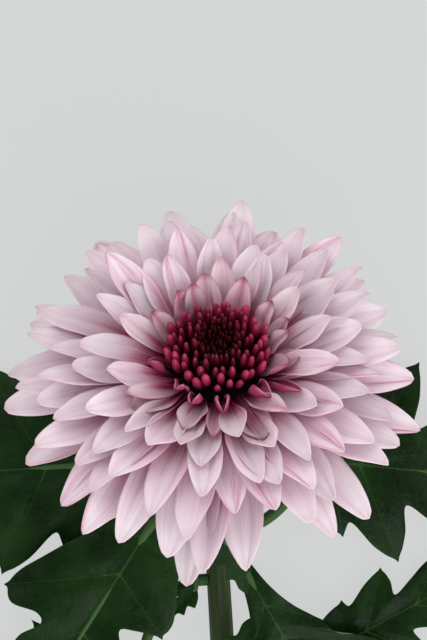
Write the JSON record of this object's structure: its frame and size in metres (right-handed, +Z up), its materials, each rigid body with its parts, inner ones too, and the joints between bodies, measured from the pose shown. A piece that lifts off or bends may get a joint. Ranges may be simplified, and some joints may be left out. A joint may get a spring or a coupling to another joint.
{
  "type": "cut chrysanthemum",
  "caption": "Cut flower laid down: a dense dome of pink cupped petals round a crimson centre, on a bent green stem with lobed leaves; for display and arrangement.",
  "frame": {"origin": "middle of the foot of the box round the whole flower, at the level of the table it lies on", "axes": "+Y along the stem from its cut end towards the bloom, +Z up from the table, +X to the right seen from above with the bloom at the top"},
  "size_m": [0.2082, 0.26, 0.0672],
  "materials": {
    "petal_pink": "soft matte with a faint sheen",
    "floret_crimson": "satin",
    "stem_green": "satin",
    "leaf_green": "waxy gloss"
  },
  "bodies": {
    "root": {"ray_petals": "petal_pink", "centre_florets": "floret_crimson", "calyx": "stem_green", "stem": "stem_green", "leaf_left": "leaf_green", "leaf_lower_left": "leaf_green", "leaf_right": "leaf_green", "leaf_lower_right": "leaf_green", "leaf_near_right": "leaf_green", "leaf_near_left": "leaf_green", "leaf_small_right": "leaf_green", "leaf_small_left": "leaf_green", "leaf_over_stem": "leaf_green"}
  },
  "joints": []
}
